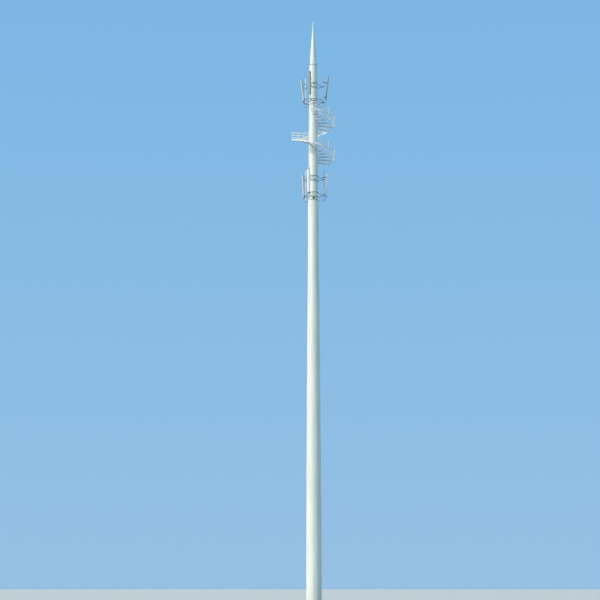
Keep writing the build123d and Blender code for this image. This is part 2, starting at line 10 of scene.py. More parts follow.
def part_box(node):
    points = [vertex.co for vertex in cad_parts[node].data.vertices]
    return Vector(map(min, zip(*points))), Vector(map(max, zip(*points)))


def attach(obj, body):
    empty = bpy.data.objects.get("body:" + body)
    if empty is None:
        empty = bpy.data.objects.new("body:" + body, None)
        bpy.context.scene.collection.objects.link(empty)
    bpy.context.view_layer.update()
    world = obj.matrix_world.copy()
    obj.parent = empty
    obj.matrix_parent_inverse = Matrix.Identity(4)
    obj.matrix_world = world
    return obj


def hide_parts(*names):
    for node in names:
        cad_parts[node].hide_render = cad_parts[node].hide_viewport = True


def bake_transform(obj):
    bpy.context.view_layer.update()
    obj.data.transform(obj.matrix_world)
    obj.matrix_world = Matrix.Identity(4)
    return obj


# Looks of a monopole cell tower at half size, built round the fixed frame
# Metres, +Z up the pole, azimuths from +X, -Y the side that the camera sees
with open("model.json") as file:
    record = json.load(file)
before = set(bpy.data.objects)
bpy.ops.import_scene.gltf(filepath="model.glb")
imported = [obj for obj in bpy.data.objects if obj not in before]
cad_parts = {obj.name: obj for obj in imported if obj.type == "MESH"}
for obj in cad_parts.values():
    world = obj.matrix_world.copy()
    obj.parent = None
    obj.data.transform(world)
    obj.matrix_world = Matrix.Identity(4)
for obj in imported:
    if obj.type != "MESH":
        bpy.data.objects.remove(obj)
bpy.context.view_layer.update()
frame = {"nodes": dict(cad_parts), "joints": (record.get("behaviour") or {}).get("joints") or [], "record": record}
scene = bpy.context.scene
joints = {joint["name"]: joint for joint in frame["joints"]}


def addObject(name, data):
    made = bpy.data.objects.new(name, data)
    scene.collection.objects.link(made)
    return made


# Camera where the photograph was taken from, tilted up at the tower
viewpoint = {
    "distance": 77.5,
    "eyeHeight": 0.8,
    "tiltUp": 10.42,
    "panLeft": 0.505,
    "lens": 93.96,
    "sensor": 36.0,
    "clip": (0.5, 2000),
}
camera = addObject("camera", bpy.data.cameras.new("camera"))
camera.location = (0, -viewpoint["distance"], viewpoint["eyeHeight"])
aim = Matrix.Rotation(radians(viewpoint["panLeft"]), 3, "Z")
aim = aim @ Matrix.Rotation(radians(90 + viewpoint["tiltUp"]), 3, "X")
camera.rotation_euler = aim.to_euler()
camera.data.lens = viewpoint["lens"]
camera.data.sensor_width = viewpoint["sensor"]
camera.data.clip_start, camera.data.clip_end = viewpoint["clip"]
scene.camera = camera
scene.view_settings.view_transform = "Standard"


def addNode(tree, kind, inputs=None, **settings):
    # adds a node; each input takes a value or another node's output
    node = tree.nodes.new(kind)
    for name, value in settings.items():
        setattr(node, name, value)
    for key, value in (inputs or {}).items():
        if isinstance(value, bpy.types.NodeSocket):
            tree.links.new(value, node.inputs[key])
        else:
            node.inputs[key].default_value = value
    return node


def output(tree, kind, inputs=None, **settings):
    return addNode(tree, kind, inputs, **settings).outputs[0]


def math(tree, operation, first, second=0.0, third=0.0):
    inputs = {0: first, 1: second, 2: third}
    return output(tree, "ShaderNodeMath", inputs, operation=operation)


def ranged(tree, value, low, high, start=0.35, end=0.65):
    # carries a pattern's middle range to the numbers from low to high
    return output(tree, "ShaderNodeMapRange", {
        "Value": value, "From Min": start, "From Max": end, "To Min": low, "To Max": high,
    })


def blended(tree, share, first, second):
    # mixes two colours, each written down or another node's output
    inputs = {0: share}
    for key, colour in ((6, first), (7, second)):
        inputs[key] = colour if isinstance(colour, bpy.types.NodeSocket) else (*colour, 1)
    return addNode(tree, "ShaderNodeMix", inputs, data_type="RGBA").outputs[2]


# Jumper cables, two from each antenna's connectors down and into the port beside it
# Each row of a route: radius, share of the turn to the port, half spread of the pair, height above the port
jumper = {
    "radius": 0.0035, "sides": 12, "lineSteps": 8, "sharpAngle": 60,
    "connector": (0.0675, 0.0375, -0.126),
    "portAzimuth": {"right": 30, "back": 150, "front": 270},
    "portHeight": {"upper": 25.285, "lower": 20.286},
    "drop": {"upper": 0.080, "lower": 0.065},
    "bend": {"upper": (25.33, 25.51), "lower": (20.265, 20.375)},
    "route": {
        "upper": (
            (0.654, 0, 0.038, 0.134), (0.626, 0, 0.037, 0.046), (0.578, 0, 0.035, -0.034),
            (0.505, 0.21, 0.028, -0.082), (0.425, 0.47, 0.022, -0.092), (0.347, 0.75, 0.017, -0.072),
            (0.277, 0.95, 0.013, -0.040), (0.205, 1, 0.012, -0.024),
        ),
        "lower": (
            (0.660, 0, 0.038, 0.022), (0.622, 0, 0.037, -0.030), (0.568, 0, 0.036, -0.068),
            (0.498, 0.2, 0.029, -0.090), (0.420, 0.47, 0.022, -0.092), (0.345, 0.75, 0.017, -0.072),
            (0.277, 0.95, 0.013, -0.040), (0.216, 1, 0.012, -0.024),
        ),
    },
}


def sectorAzimuth(joint):
    return atan2(joint["pos_m"][1], joint["pos_m"][0]) * 180 / pi


def antennaPlace(joint):
    # the panel's place at rest: origin on the hinge, x outwards and z up, both leaning with it
    lean = radians(-joint["range_deg"][0])
    side = Vector(joint["axis"])
    out = Vector((side.y, -side.x, 0))
    up = Vector((0, 0, 1))
    axes = (out * cos(lean) - up * sin(lean), side, out * sin(lean) + up * cos(lean))
    return Matrix.Translation(joint["pos_m"]) @ Matrix(axes).transposed().to_4x4()


def jumperRoute(joint, level, sector, side):
    place = antennaPlace(joint)
    x, y, z = jumper["connector"]
    start = Vector((x, side * y, z))
    points = [place @ start, place @ (start - Vector((0, 0, jumper["drop"][level])))]
    azimuth = sectorAzimuth(joint)
    turn = (jumper["portAzimuth"][sector] - azimuth + 180) % 360 - 180
    for radius, share, spread, rise in jumper["route"][level]:
        angle = radians(azimuth + share * turn)
        out, along = Vector((cos(angle), sin(angle), 0)), Vector((-sin(angle), cos(angle), 0))
        height = Vector((0, 0, jumper["portHeight"][level] + rise))
        points.append(out * radius + along * side * spread + height)
    return points


def smoothLine(points):
    # the points of a smooth spline that the route's points control
    curve = bpy.data.curves.new("route", "CURVE")
    curve.dimensions = "3D"
    curve.resolution_u = jumper["lineSteps"]
    spline = curve.splines.new("NURBS")
    spline.points.add(len(points) - 1)
    for point, place in zip(spline.points, points):
        point.co = (*place, 1)
    spline.order_u = 3
    spline.use_endpoint_u = True
    holder = bpy.data.objects.new("route", curve)
    line = bpy.data.meshes.new_from_object(holder)
    found = [vertex.co.copy() for vertex in line.vertices]
    bpy.data.meshes.remove(line)
    bpy.data.objects.remove(holder)
    bpy.data.curves.remove(curve)
    return found


def alongLine(line, index):
    return (line[min(index + 1, len(line) - 1)] - line[max(index - 1, 0)]).normalized()


def ringRound(point, radius, normal, across, sides):
    turns = [2 * pi * step / sides for step in range(sides)]
    return [point + radius * (cos(turn) * normal + sin(turn) * across) for turn in turns]


def tubeRings(line, radius, sides):
    # rings square to the line, each turned as little as it can be from the one before
    rings = []
    normal = (line[1] - line[0]).orthogonal()
    for index, point in enumerate(line):
        along = alongLine(line, index)
        normal = (normal - along * normal.dot(along)).normalized()
        rings.append(ringRound(point, radius, normal, along.cross(normal), sides))
    return rings


jumperLines = {}
for name, joint in joints.items():
    level, sector = name.split("_")[:2]
    for side in (-1, 1):
        jumperLines[name, side] = smoothLine(jumperRoute(joint, level, sector, side))
print("jumper lines:", len(jumperLines))

# Soft studio light: a wide key from the left, weaker lamps on the right and behind, and an even surround
# Each lamp's strength, angle, where it comes from and colour
light = {
    "lamps": {
        "keyLamp": (3.3, 16, (-0.72, -0.47, 0.51), (1.0, 0.90, 0.78)),
        "fillLamp": (0.05, 60, (0.9, -0.6, 0.35), (1, 1, 1)),
        "backLamp": (0.9, 60, (-0.1, 0.9, 0.4), (1, 1, 1)),
    },
    "surround": (0.14, 0.35, 0.475),
    "skyLow": (0.305, 0.53, 0.775),
    "skyHigh": (0.20, 0.47, 0.775),
    "skyRise": 0.36,
}
for name, (strength, angle, source, colour) in light["lamps"].items():
    lamp = addObject(name, bpy.data.lights.new(name, "SUN"))
    lamp.data.energy = strength
    lamp.data.angle = radians(angle)
    lamp.data.color = colour
    lamp.rotation_euler = Vector(source).to_track_quat("Z", "Y").to_euler()

# The camera and reflections see a blue sky that pales towards the ground
world = bpy.data.worlds.new("studio")
scene.world = world
world.use_nodes = True
sky = world.node_tree
sky.nodes.clear()
rays = addNode(sky, "ShaderNodeLightPath").outputs
seen = math(sky, "MAXIMUM", rays["Is Camera Ray"], rays["Is Glossy Ray"])
seen = math(sky, "MAXIMUM", seen, rays["Is Transmission Ray"])
surround = output(sky, "ShaderNodeBackground", {"Color": (*light["surround"], 1)})
upwards = addNode(sky, "ShaderNodeTexCoord").outputs["Generated"]
upwards = addNode(sky, "ShaderNodeSeparateXYZ", {0: upwards}).outputs[2]
upwards = ranged(sky, upwards, 0, 1, 0, light["skyRise"])
colour = blended(sky, upwards, light["skyLow"], light["skyHigh"])
backdrop = output(sky, "ShaderNodeBackground", {"Color": colour})
chosen = output(sky, "ShaderNodeMixShader", {0: seen, 1: surround, 2: backdrop})
addNode(sky, "ShaderNodeOutputWorld", {"Surface": chosen})
print("camera and light set")

# Patterns of the finishes: scale, detail, and stretch up the piece where there is one
# Ranges are the part of a pattern that shows, and each relief is a distance and a strength
grain = {
    "streaks": (9.0, 4.0, 0.06), "streakRange": (0.42, 0.72), "patches": (1.3, 3.0, 0.5),
    "wear": (5.0, 3.0), "wearChange": (-0.08, 0.12), "peel": (240.0, 2.0), "peelRelief": (0.0006, 0.35),
    "clouds": (6.0, 4.0), "spangleShare": 0.35, "spangleSheen": (-0.1, 0.1),
    "crystals": (90.0, 3.0), "crystalRelief": (0.0006, 0.4),
    "fade": (3.5, 4.0, 0.35), "dirt": (16.0, 4.0, 0.08), "dirtRange": (0.5, 0.8), "dirtTone": 0.55,
    "shellDetail": 2.0, "shellRelief": (0.0004, 0.35),
}


def newFinish(name, colour, roughness, metallic=0.0):
    material = bpy.data.materials.new(name)
    material.use_nodes = True
    shader = material.node_tree.nodes["Principled BSDF"]
    shader.inputs["Base Color"].default_value = (*colour, 1)
    shader.inputs["Roughness"].default_value = roughness
    shader.inputs["Metallic"].default_value = metallic
    return material, material.node_tree, shader


def patterned(tree, scale, detail, rise=1.0):
    # noise on the piece's own coordinates, stretched up the piece
    place = addNode(tree, "ShaderNodeTexCoord").outputs["Object"]
    place = output(tree, "ShaderNodeMapping", {"Vector": place, "Scale": (1, 1, rise)})
    return addNode(tree, "ShaderNodeTexNoise", {
        "Vector": place, "Scale": scale, "Detail": detail,
    }).outputs["Fac"]


def bumped(tree, shader, height, distance, strength):
    inputs = {"Height": height, "Distance": distance, "Strength": strength}
    tree.links.new(output(tree, "ShaderNodeBump", inputs), shader.inputs["Normal"])


def paintedSteel(name, **look):
    # brushed or sprayed paint with rain streaks, soft patches and a little orange peel
    material, tree, shader = newFinish(name, look["colour"], look["roughness"])
    streaks = ranged(tree, patterned(tree, *grain["streaks"]), 0, look["streaks"], *grain["streakRange"])
    patches = ranged(tree, patterned(tree, *grain["patches"]), 0, look["patches"])
    colour = blended(tree, patches, look["colour"], look["faded"])
    colour = blended(tree, streaks, colour, look["dirt"])
    tree.links.new(colour, shader.inputs["Base Color"])
    low, high = (look["roughness"] + change for change in grain["wearChange"])
    wear = ranged(tree, patterned(tree, *grain["wear"]), low, high)
    tree.links.new(wear, shader.inputs["Roughness"])
    bumped(tree, shader, patterned(tree, *grain["peel"]), *grain["peelRelief"])
    return material


def zincSteel(name, **look):
    # hot-dip zinc: crystal spangle, cloudy grey patches and a dull sheen
    material, tree, shader = newFinish(name, look["colour"], look["roughness"], look["metallic"])
    place = addNode(tree, "ShaderNodeTexCoord").outputs["Object"]
    cells = addNode(tree, "ShaderNodeTexVoronoi", {"Vector": place, "Scale": look["spangle"]})
    spangle = output(tree, "ShaderNodeSeparateColor", {0: cells.outputs["Color"]})
    clouds = ranged(tree, patterned(tree, *grain["clouds"]), 0, 1)
    colour = blended(tree, clouds, look["colour"], look["cloud"])
    colour = blended(tree, ranged(tree, spangle, 0, grain["spangleShare"], 0, 1), colour, look["bright"])
    tree.links.new(colour, shader.inputs["Base Color"])
    low, high = (look["roughness"] + change for change in grain["spangleSheen"])
    tree.links.new(ranged(tree, spangle, low, high, 0, 1), shader.inputs["Roughness"])
    bumped(tree, shader, patterned(tree, *grain["crystals"]), *grain["crystalRelief"])
    return material


def mouldedPlastic(name, **look):
    # glass-fibre or moulded plastic, faded by the sun, with a fine grain
    material, tree, shader = newFinish(name, look["colour"], look["roughness"])
    fade = ranged(tree, patterned(tree, *grain["fade"]), 0, 1)
    colour = blended(tree, fade, look["colour"], look["faded"])
    dirt = ranged(tree, patterned(tree, *grain["dirt"]), 0, look["dirt"], *grain["dirtRange"])
    colour = blended(tree, dirt, colour, tuple(grain["dirtTone"] * part for part in look["colour"]))
    tree.links.new(colour, shader.inputs["Base Color"])
    bumped(tree, shader, patterned(tree, look["grain"], grain["shellDetail"]), *grain["shellRelief"])
    return material


finishes = {
    "pole": paintedSteel(
        "polePaint", colour=(0.80, 0.815, 0.77), faded=(0.74, 0.765, 0.73), dirt=(0.50, 0.52, 0.48),
        roughness=0.42, streaks=0.45, patches=0.8,
    ),
    "flange": paintedSteel(
        "flangePaint", colour=(0.36, 0.38, 0.39), faded=(0.43, 0.45, 0.45), dirt=(0.24, 0.22, 0.19),
        roughness=0.55, streaks=0.5, patches=0.9,
    ),
    "stair": paintedSteel(
        "stairPaint", colour=(0.88, 0.90, 0.88), faded=(0.82, 0.85, 0.84), dirt=(0.52, 0.55, 0.54),
        roughness=0.5, streaks=0.35, patches=0.7,
    ),
    # painted shade: the stair's pale paint made darker and bluer for the arms, standing in for the shade under the
    # treads
    "arm": paintedSteel(
        "armPaint", colour=(0.53, 0.59, 0.63), faded=(0.58, 0.63, 0.66), dirt=(0.36, 0.38, 0.39),
        roughness=0.55, streaks=0.35, patches=0.8,
    ),
    "zinc": zincSteel(
        "hotDipZinc", colour=(0.27, 0.30, 0.32), cloud=(0.21, 0.24, 0.26), bright=(0.38, 0.41, 0.43),
        roughness=0.5, metallic=0.5, spangle=90.0,
    ),
    "grating": zincSteel(
        "gratingZinc", colour=(0.66, 0.69, 0.70), cloud=(0.56, 0.59, 0.61), bright=(0.78, 0.80, 0.81),
        roughness=0.55, metallic=0.2, spangle=120.0,
    ),
    "bolt": zincSteel(
        "boltZinc", colour=(0.50, 0.51, 0.50), cloud=(0.40, 0.41, 0.41), bright=(0.68, 0.69, 0.68),
        roughness=0.38, metallic=0.8, spangle=300.0,
    ),
    "tilt": zincSteel(
        "tiltSteel", colour=(0.34, 0.37, 0.39), cloud=(0.27, 0.30, 0.33), bright=(0.48, 0.51, 0.53),
        roughness=0.5, metallic=0.6, spangle=140.0,
    ),
    "radome": mouldedPlastic(
        "radomeShell", colour=(0.77, 0.80, 0.81), faded=(0.72, 0.75, 0.76),
        roughness=0.45, dirt=0.35, grain=500.0,
    ),
    # painted shade: a darker, bluer copy of the radome shell for two panels, standing in for the shade on their
    # turned faces
    "greyRadome": mouldedPlastic(
        "greyRadomeShell", colour=(0.25, 0.30, 0.34), faded=(0.31, 0.35, 0.38),
        roughness=0.45, dirt=0.4, grain=500.0,
    ),
    "cap": mouldedPlastic(
        "radomeCap", colour=(0.20, 0.22, 0.24), faded=(0.27, 0.29, 0.31),
        roughness=0.5, dirt=0.3, grain=700.0,
    ),
    "pipe": zincSteel(
        "pipeZinc", colour=(0.74, 0.77, 0.78), cloud=(0.66, 0.69, 0.71), bright=(0.84, 0.86, 0.87),
        roughness=0.5, metallic=0.15, spangle=110.0,
    ),
    "jacket": mouldedPlastic(
        "cableJacket", colour=(0.035, 0.037, 0.04), faded=(0.065, 0.067, 0.07),
        roughness=0.5, dirt=0.3, grain=1200.0,
    ),
    "rubber": mouldedPlastic(
        "portRubber", colour=(0.03, 0.033, 0.036), faded=(0.06, 0.062, 0.064),
        roughness=0.75, dirt=0.2, grain=900.0,
    ),
    "nickel": zincSteel(
        "connectorNickel", colour=(0.62, 0.59, 0.52), cloud=(0.50, 0.48, 0.43), bright=(0.75, 0.72, 0.65),
        roughness=0.32, metallic=0.9, spangle=500.0,
    ),
}
slotFinishes = {
    "pole_paint": "pole", "flange_steel": "flange", "galvanised": "zinc", "stair_paint": "stair",
    "grating": "grating", "port_rubber": "rubber", "cable_jacket": "jacket", "radome": "radome",
    "tilt_steel": "tilt",
}
# the stair's arms take the darker, bluer paint that is painted shade; the pipes take a pale zinc
nodeFinishes = {"upper_pipes": "pipe", "lower_pipes": "pipe", "stair_arms": "arm"}
for row in frame["record"]["subparts"]:
    finish = nodeFinishes.get(row["node"], slotFinishes[row["material_slot"]])
    frame["nodes"][row["node"]].data.materials[0] = finishes[finish]
print("finishes made:", len(finishes))


# Shapes made of rings of points
def skin(shape, rings, place=Matrix()):
    # joins rings of the same count, and closes the first and the last
    rows = [[shape.verts.new(place @ Vector(point)) for point in ring] for ring in rings]
    count = len(rows[0])
    for low, high in zip(rows, rows[1:]):
        for index in range(count):
            after = (index + 1) % count
            shape.faces.new((low[index], low[after], high[after], high[index]))
    shape.faces.new(rows[0][::-1])
    shape.faces.new(rows[-1])


def circle(radius, height, sides=16):
    turns = [2 * pi * index / sides for index in range(sides)]
    return [(radius * cos(turn), radius * sin(turn), height) for turn in turns]


def lathe(shape, profile, place=Matrix(), sides=16):
    skin(shape, [circle(radius, height, sides) for radius, height in profile], place)


def block(shape, low, high, edge, place=Matrix()):
    # a box between two opposite corners, with its edges cut back
    (x0, x1), (y0, y1), (z0, z1) = (sorted(pair) for pair in zip(low, high))
    rings = []
    for inset, z in ((edge, z0), (0, z0 + edge), (0, z1 - edge), (edge, z1)):
        a, b, c, d = x0 + inset, x1 - inset, y0 + inset, y1 - inset
        rings.append([
            (a + edge, c, z), (b - edge, c, z), (b, c + edge, z), (b, d - edge, z),
            (b - edge, d, z), (a + edge, d, z), (a, d - edge, z), (a, c + edge, z),
        ])
    skin(shape, rings, place)


# Washer, hexagon and stud of a bolt, as shares of its diameter
fastener = {
    "washer": 1.1, "washerThick": 0.18, "flats": 1.6, "head": 0.7, "bevelFrom": 0.8, "bevelTo": 0.88,
    "stud": 0.5, "studFrom": 0.8, "tip": 0.38, "tipRise": 0.1, "studSides": 10,
}


def hexagon(shape, place, acrossFlats, height):
    corner = acrossFlats / sqrt(3)
    bevel = (corner, fastener["bevelFrom"] * height), (fastener["bevelTo"] * corner, height)
    lathe(shape, [(corner, 0), *bevel], place, 6)


def bolt(shape, place, size, stud=0.0):
    # washer and hexagon on a surface, looking along +Z, with the stud's end above where there is one
    washer, thick, flats, head = (
        fastener[name] * size for name in ("washer", "washerThick", "flats", "head")
    )
    lathe(shape, [(washer, 0), (washer, thick)], place)
    hexagon(shape, place @ Matrix.Translation((0, 0, thick)), flats, head)
    if stud:
        radius, top = fastener["stud"] * size, thick + head + stud
        tip = (fastener["tip"] * size, top + fastener["tipRise"] * size)
        profile = [(radius, fastener["studFrom"] * size), (radius, top), tip]
        lathe(shape, profile, place, fastener["studSides"])


def facing(direction, origin=(0, 0, 0)):
    # a place whose +Z looks along a direction
    turn = Vector(direction).to_track_quat("Z", "Y").to_matrix().to_4x4()
    return Matrix.Translation(origin) @ turn


def roundThePole(azimuth, radius=0.0, height=0.0):
    # a place at an azimuth, with x outwards and y along the tangent
    turn = Matrix.Rotation(radians(azimuth), 4, "Z")
    return turn @ Matrix.Translation((radius, 0, height))


def asMesh(shape, name):
    bmesh.ops.recalc_face_normals(shape, faces=shape.faces)
    mesh = bpy.data.meshes.new(name)
    shape.to_mesh(mesh)
    shape.free()
    return mesh


def drawn(name, draw, *sizes):
    # a mesh of what one drawing function makes
    shape = bmesh.new()
    draw(shape, *sizes)
    return asMesh(shape, name)


def keepPiece(name, mesh, finish, body="mast", replaced=(), bend=None, sharpAngle=34):
    # a piece with a bend keeps its world place and is not attached to a body; the bend's two heights are not used
    if not mesh.materials:
        mesh.materials.append(finishes[finish])
    mesh.shade_smooth()
    mesh.set_sharp_from_angle(angle=radians(sharpAngle))
    piece = addObject(name, mesh)
    if bend:
        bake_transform(piece)
    else:
        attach(piece, body)
    if replaced:
        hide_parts(*replaced)
    return piece


# Geometry Nodes trees that repeat parts or follow the pole and the stair
def newTree(name, sizes):
    # gives the tree, its inputs' sockets and a short way to write its sums
    tree = bpy.data.node_groups.new(name, "GeometryNodeTree")
    tree.interface.new_socket("Geometry", in_out="INPUT", socket_type="NodeSocketGeometry")
    tree.interface.new_socket("Geometry", in_out="OUTPUT", socket_type="NodeSocketGeometry")
    for kind, labels in sizes.items():
        for label in labels:
            tree.interface.new_socket(label, in_out="INPUT", socket_type="NodeSocket" + kind)
    return tree, tree.nodes.new("NodeGroupInput").outputs, partial(math, tree)


def closeTree(tree, geometry, finish):
    # realizes the instances, sets the finish and ends the tree
    made = output(tree, "GeometryNodeRealizeInstances", {"Geometry": geometry})
    made = output(tree, "GeometryNodeSetMaterial", {"Geometry": made, "Material": finish})
    addNode(tree, "NodeGroupOutput", {0: made})
    return tree


def helixPoint(tree, radius, azimuth, height):
    turn = math(tree, "RADIANS", azimuth)
    x = math(tree, "MULTIPLY", radius, math(tree, "COSINE", turn))
    y = math(tree, "MULTIPLY", radius, math(tree, "SINE", turn))
    return output(tree, "ShaderNodeCombineXYZ", {0: x, 1: y, 2: height})


def partsTree():
    # copies of one part at even steps of azimuth, radius and height
    tree, given, calc = newTree("partsRoundThePole", {
        "Object": ["Part"], "Int": ["Count"], "Material": ["Finish"], "Float": [
            "First Radius", "Radius Step", "First Azimuth", "Azimuth Step", "First Height", "Height Step",
        ],
    })
    index = output(tree, "GeometryNodeInputIndex")
    radius, azimuth, height = (
        calc("MULTIPLY_ADD", index, given[label + " Step"], given["First " + label])
        for label in ("Radius", "Azimuth", "Height")
    )
    points = output(tree, "GeometryNodePoints", {
        "Count": given["Count"], "Position": helixPoint(tree, radius, azimuth, height),
    })
    turn = output(tree, "ShaderNodeCombineXYZ", {2: calc("RADIANS", azimuth)})
    part = addNode(tree, "GeometryNodeObjectInfo", {"Object": given["Part"]}).outputs["Geometry"]
    copies = output(tree, "GeometryNodeInstanceOnPoints", {
        "Points": points, "Instance": part, "Rotation": turn,
    })
    return closeTree(tree, copies, given["Finish"])


def tubeTree():
    # a round tube or a rippled weld bead from one point round the pole to another
    tree, given, calc = newTree("tubeRoundThePole", {
        "Int": ["Points", "Sides"], "Material": ["Finish"], "Float": [
            "First Radius", "Last Radius", "First Azimuth", "Last Azimuth", "First Height",
            "Last Height", "Tube Radius", "Ripples", "Ripple Depth",
        ],
    })
    line = output(tree, "GeometryNodeCurvePrimitiveLine")
    line = output(tree, "GeometryNodeResampleCurve", {"Curve": line, "Count": given["Points"]})
    along = addNode(tree, "GeometryNodeSplineParameter").outputs["Factor"]

    def carried(name):
        return output(tree, "ShaderNodeMapRange", {
            "Value": along, "To Min": given["First " + name], "To Max": given["Last " + name],
        })

    position = helixPoint(tree, carried("Radius"), carried("Azimuth"), carried("Height"))
    line = output(tree, "GeometryNodeSetPosition", {"Geometry": line, "Position": position})
    wave = calc("SINE", calc("MULTIPLY", along, given["Ripples"]))
    swell = calc("MULTIPLY_ADD", wave, given["Ripple Depth"], 1.0)
    thick = calc("MULTIPLY", given["Tube Radius"], swell)
    line = output(tree, "GeometryNodeSetCurveRadius", {"Curve": line, "Radius": thick})
    ring = output(tree, "GeometryNodeCurvePrimitiveCircle", {"Resolution": given["Sides"], "Radius": 1.0})
    tube = addNode(tree, "GeometryNodeCurveToMesh", {"Curve": line, "Profile Curve": ring, "Fill Caps": True})
    for socket in tube.inputs:
        if socket.name == "Scale" and not socket.is_linked:
            radius = output(tree, "GeometryNodeInputRadius")
            tree.links.new(radius, socket)
    return closeTree(tree, tube.outputs[0], given["Finish"])


def treadTree():
    # one wedge of expanded metal in a thin frame, x outwards, its long diamonds across the tread
    tree, given, calc = newTree("treadWedge", {
        "Int": ["Rows"], "Material": ["Finish"], "Float": [
            "Inner Radius", "Outer Radius", "Half Angle", "Diamond Length", "Diamond Width",
            "Shortest Strand", "Strand Width", "Strand Depth", "Mesh Height", "Band Width", "Band Depth",
        ],
    })
    plus, minus, times, over, timesPlus = (
        partial(calc, operation) for operation in ("ADD", "SUBTRACT", "MULTIPLY", "DIVIDE", "MULTIPLY_ADD")
    )
    index = output(tree, "GeometryNodeInputIndex")
    cube = output(tree, "GeometryNodeMeshCube")
    halfAngle = calc("RADIANS", given["Half Angle"])
    slope = calc("TANGENT", halfAngle)
    span = minus(given["Outer Radius"], given["Inner Radius"])

    def bars(points, scale, turn=0.0, chosen=True):
        return output(tree, "GeometryNodeInstanceOnPoints", {
            "Points": points, "Instance": cube, "Selection": chosen,
            "Scale": output(tree, "ShaderNodeCombineXYZ", scale),
            "Rotation": output(tree, "ShaderNodeCombineXYZ", {2: turn}),
        })

    def spots(count, position):
        return output(tree, "GeometryNodePoints", {
            "Count": count, "Position": output(tree, "ShaderNodeCombineXYZ", position),
        })

    # each strand is a diamond's side, cut where it meets the frame
    # first and last say where it starts and ends, from -1 to 1 along its whole length
    stepX = times(given["Diamond Width"], 0.5)
    stepY = times(given["Diamond Length"], 0.5)
    halfX, halfY = times(stepX, 0.5), times(stepY, 0.5)
    columns = calc("FLOOR", over(span, stepX))
    column = calc("FLOOR", over(index, given["Rows"]))
    row = minus(index, times(column, given["Rows"]))
    x = timesPlus(plus(column, 0.5), stepX, given["Inner Radius"])
    middle = timesPlus(given["Rows"], 0.5, -0.5)
    y = times(minus(row, middle), stepY)
    parity = calc("FLOORED_MODULO", plus(column, row), 2.0)
    side = timesPlus(parity, 2.0, -1.0)
    edge, across = times(x, slope), times(y, side)
    drift = times(halfX, slope)
    last = over(minus(edge, across), minus(halfY, drift))
    first = over(plus(edge, across), times(plus(halfY, drift), -1.0))
    last, first = calc("MINIMUM", last, 1.0), calc("MAXIMUM", first, -1.0)
    shift = times(plus(last, first), 0.5)
    share = times(minus(last, first), 0.5)
    strandPlace = {
        0: timesPlus(shift, halfX, x),
        1: timesPlus(times(shift, side), halfY, y),
        2: given["Mesh Height"],
    }
    long = calc("SQRT", timesPlus(stepX, stepX, times(stepY, stepY)))
    strands = bars(
        spots(times(columns, given["Rows"]), strandPlace),
        {0: times(long, share), 1: given["Strand Width"], 2: given["Strand Depth"]},
        times(side, calc("ARCTANGENT", over(stepY, stepX))),
        calc("GREATER_THAN", share, given["Shortest Strand"]),
    )

    # the frame has two bands along the wedge's sides and two across its ends
    half = times(given["Band Depth"], 0.5)
    turn = times(timesPlus(index, 2.0, -1.0), halfAngle)
    reach = times(plus(given["Outer Radius"], given["Inner Radius"]), 0.5)
    bandPlace = {
        0: times(reach, calc("COSINE", turn)),
        1: times(reach, calc("SINE", turn)), 2: half,
    }
    sides = bars(spots(2, bandPlace), {0: span, 1: given["Band Width"], 2: given["Band Depth"]}, turn)
    endReach = timesPlus(index, span, given["Inner Radius"])
    endLength = times(times(endReach, slope), 2.0)
    ends = bars(
        spots(2, {0: endReach, 2: half}), {0: given["Band Width"], 1: endLength, 2: given["Band Depth"]}
    )
    joined = addNode(tree, "GeometryNodeJoinGeometry")
    for geometry in (strands, sides, ends):
        tree.links.new(geometry, joined.inputs[0])
    return closeTree(tree, joined.outputs[0], given["Finish"])


trees = {"parts": partsTree(), "tube": tubeTree(), "tread": treadTree()}


def growMesh(name, treeName, sizes):
    # runs a tree on an empty mesh and keeps what it makes as a plain mesh
    source = addObject(name + "Source", bpy.data.meshes.new(name + "Source"))
    modifier = source.modifiers.new("grow", "NODES")
    modifier.node_group = trees[treeName]
    for item in trees[treeName].interface.items_tree:
        if item.in_out == "INPUT" and item.name in sizes:
            value = sizes[item.name]
            modifier[item.identifier] = float(value) if item.socket_type == "NodeSocketFloat" else value
    graph = bpy.context.evaluated_depsgraph_get()
    mesh = bpy.data.meshes.new_from_object(source.evaluated_get(graph), depsgraph=graph)
    mesh.name = name
    source.modifiers.remove(modifier)
    bpy.data.objects.remove(source)
    return mesh


def repeatPart(name, shape, count, radii, azimuths, heights, finish, replaced=()):
    # one part, drawn with x outwards, repeated round the pole; each pair is a first value and a step
    part = addObject(name + "Part", asMesh(shape, name + "Part"))
    sizes = {"Part": part, "Count": count, "Finish": finishes[finish]}
    for label, pair in (("Radius", radii), ("Azimuth", azimuths), ("Height", heights)):
        sizes["First " + label], sizes[label + " Step"] = pair
    mesh = growMesh(name, "parts", sizes)
    bpy.data.objects.remove(part)
    keepPiece(name, mesh, finish, replaced=replaced)


def tubeMesh(name, radii, azimuths, heights, thick, points, finish, sides, ripples=0.0, depth=0.0):
    # each pair is a value where the tube starts and one where it ends
    sizes = {"Tube Radius": thick, "Points": points, "Sides": sides, "Finish": finishes[finish]}
    sizes.update({"Ripples": ripples, "Ripple Depth": depth})
    for label, pair in (("Radius", radii), ("Azimuth", azimuths), ("Height", heights)):
        sizes["First " + label], sizes["Last " + label] = pair
    return growMesh(name, "tube", sizes)


def joinMeshes(name, meshes):
    joined = bmesh.new()
    for mesh in meshes:
        joined.from_mesh(mesh)
    material = meshes[0].materials[0]
    made = bpy.data.meshes.new(name)
    joined.to_mesh(made)
    joined.free()
    made.materials.append(material)
    return made


